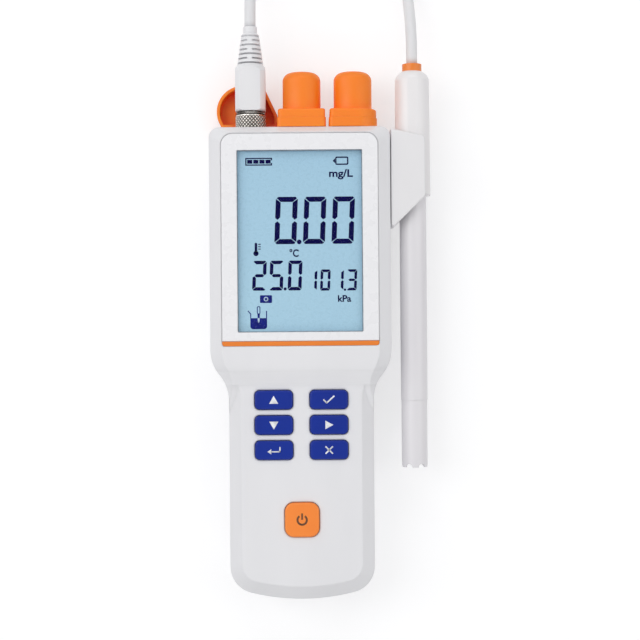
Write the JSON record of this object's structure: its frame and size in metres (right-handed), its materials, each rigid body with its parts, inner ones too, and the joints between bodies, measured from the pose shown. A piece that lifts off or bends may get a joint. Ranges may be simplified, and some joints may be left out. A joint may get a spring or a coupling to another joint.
{
  "type": "portable dissolved oxygen meter",
  "caption": "Hand-held meter with a large display, rubber keys, capped sockets and a probe held in a side clip on its own cable.",
  "frame": {"origin": "middle of the flat back face, half way along the housing", "axes": "+X to the right of the display, +Y along the housing towards its sockets, +Z out of the display"},
  "size_m": [0.0984, 0.372, 0.035],
  "materials": {
    "housing": "white ABS, lightly glossy",
    "back_housing": "white ABS, fine texture",
    "seal": "dark silicone",
    "steel": "bright steel",
    "lens": "clear window with printed border",
    "accent": "orange inlay",
    "display": "reflective display glass",
    "light_guide": "clear light guide",
    "inner_plastic": "black moulded carrier",
    "board": "green circuit board",
    "chips": "black chip packages",
    "mat": "grey silicone mat",
    "battery": "wrapped cells",
    "contact": "plated contacts",
    "nickel": "nickel plating",
    "ptfe": "white insulator",
    "black_plastic": "black moulding",
    "cap": "orange silicone",
    "blue_key": "blue silicone key with a clear coat",
    "orange_key": "orange silicone key",
    "boot": "white flexible vinyl",
    "cable": "white vinyl jacket",
    "tie": "black hook and loop band",
    "clip": "white moulding",
    "grip": "white moulding",
    "shaft": "white tube",
    "electrode": "dark electrode body",
    "membrane": "thin translucent film"
  },
  "bodies": {
    "meter": {"front_shell": "housing", "rear_shell": "back_housing", "housing_seal": "seal", "housing_screws": "steel", "screen_lens": "lens", "accent_strip": "accent", "lcd_panel": "display", "lcd_backlight": "light_guide", "display_frame": "inner_plastic", "main_board": "board", "board_parts": "chips", "buzzer": "black_plastic", "keypad_mat": "mat", "batteries": "battery", "battery_contacts": "contact", "bnc_socket": "nickel", "bnc_insulator": "ptfe", "bnc_contact": "contact", "bnc_nut": "nickel", "temperature_socket": "nickel", "temperature_core": "black_plastic", "temperature_nut": "nickel", "data_socket": "black_plastic", "data_socket_shell": "nickel", "plug_body": "nickel", "plug_pin": "contact", "plug_boot": "boot", "cap_strip": "cap", "cap_strap_left": "cap", "cap_strap_middle": "cap", "cap_strap_right": "cap", "probe_clip": "clip", "clip_screws": "steel", "cable_lead_meter": "cable", "cable_coil": "cable", "cable_tie": "tie", "cable_lead_probe": "cable"},
    "coupling_ring": {"plug_coupling_ring": "nickel"},
    "cap_left": {"cap_left": "cap"},
    "cap_middle": {"cap_middle": "cap"},
    "cap_right": {"cap_right": "cap"},
    "probe": {"probe_grip": "grip", "probe_collar": "accent", "probe_shaft": "shaft", "probe_guard": "shaft", "electrode_body": "electrode", "electrode_ring": "seal", "membrane_cap": "black_plastic", "membrane": "membrane"},
    "key_up": {"key_up": "blue_key"},
    "key_down": {"key_down": "blue_key"},
    "key_enter": {"key_enter": "blue_key"},
    "key_set": {"key_set": "blue_key"},
    "key_measure": {"key_measure": "blue_key"},
    "key_cancel": {"key_cancel": "blue_key"},
    "power_key": {"power_key": "orange_key"},
    "battery_cover": {"battery_cover": "back_housing"}
  },
  "joints": [
    {"name": "key_up_press", "type": "slide", "parent": "meter", "child": "key_up", "axis": [0, 0, -1], "range_m": [0, 0.0008], "stiffness_N_per_m": 400, "springref_m": -0.0006},
    {"name": "key_down_press", "type": "slide", "parent": "meter", "child": "key_down", "axis": [0, 0, -1], "range_m": [0, 0.0008], "stiffness_N_per_m": 400, "springref_m": -0.0006},
    {"name": "key_enter_press", "type": "slide", "parent": "meter", "child": "key_enter", "axis": [0, 0, -1], "range_m": [0, 0.0008], "stiffness_N_per_m": 400, "springref_m": -0.0006},
    {"name": "key_set_press", "type": "slide", "parent": "meter", "child": "key_set", "axis": [0, 0, -1], "range_m": [0, 0.0008], "stiffness_N_per_m": 400, "springref_m": -0.0006},
    {"name": "key_measure_press", "type": "slide", "parent": "meter", "child": "key_measure", "axis": [0, 0, -1], "range_m": [0, 0.0008], "stiffness_N_per_m": 400, "springref_m": -0.0006},
    {"name": "key_cancel_press", "type": "slide", "parent": "meter", "child": "key_cancel", "axis": [0, 0, -1], "range_m": [0, 0.0008], "stiffness_N_per_m": 400, "springref_m": -0.0006},
    {"name": "power_key_press", "type": "slide", "parent": "meter", "child": "power_key", "axis": [0, 0, -1], "range_m": [0, 0.0008], "stiffness_N_per_m": 400, "springref_m": -0.0006},
    {"name": "coupling_ring_turn", "type": "hinge", "parent": "meter", "child": "coupling_ring", "pos_m": [-0.0219, 0.105, 0.0185], "axis": [0, 1, 0], "range_deg": [0, 90]},
    {"name": "cap_left_swing", "type": "hinge", "parent": "meter", "child": "cap_left", "pos_m": [-0.0234, 0.1063, 0.005], "axis": [-1, 0, 0], "range_deg": [0, 6]},
    {"name": "cap_middle_pull", "type": "slide", "parent": "meter", "child": "cap_middle", "axis": [0, 1, 0], "range_m": [0, 0.016], "deforming": ["cap_strap_middle"]},
    {"name": "cap_right_pull", "type": "slide", "parent": "meter", "child": "cap_right", "axis": [0, 1, 0], "range_m": [0, 0.016], "deforming": ["cap_strap_right"]},
    {"name": "probe_unclip", "type": "slide", "parent": "meter", "child": "probe", "axis": [1, 0, 0], "range_m": [0, 0.016], "deforming": ["cable_lead_probe"]},
    {"name": "battery_cover_slide", "type": "slide", "parent": "meter", "child": "battery_cover", "axis": [0, -1, 0], "range_m": [0, 0.012]}
  ]
}
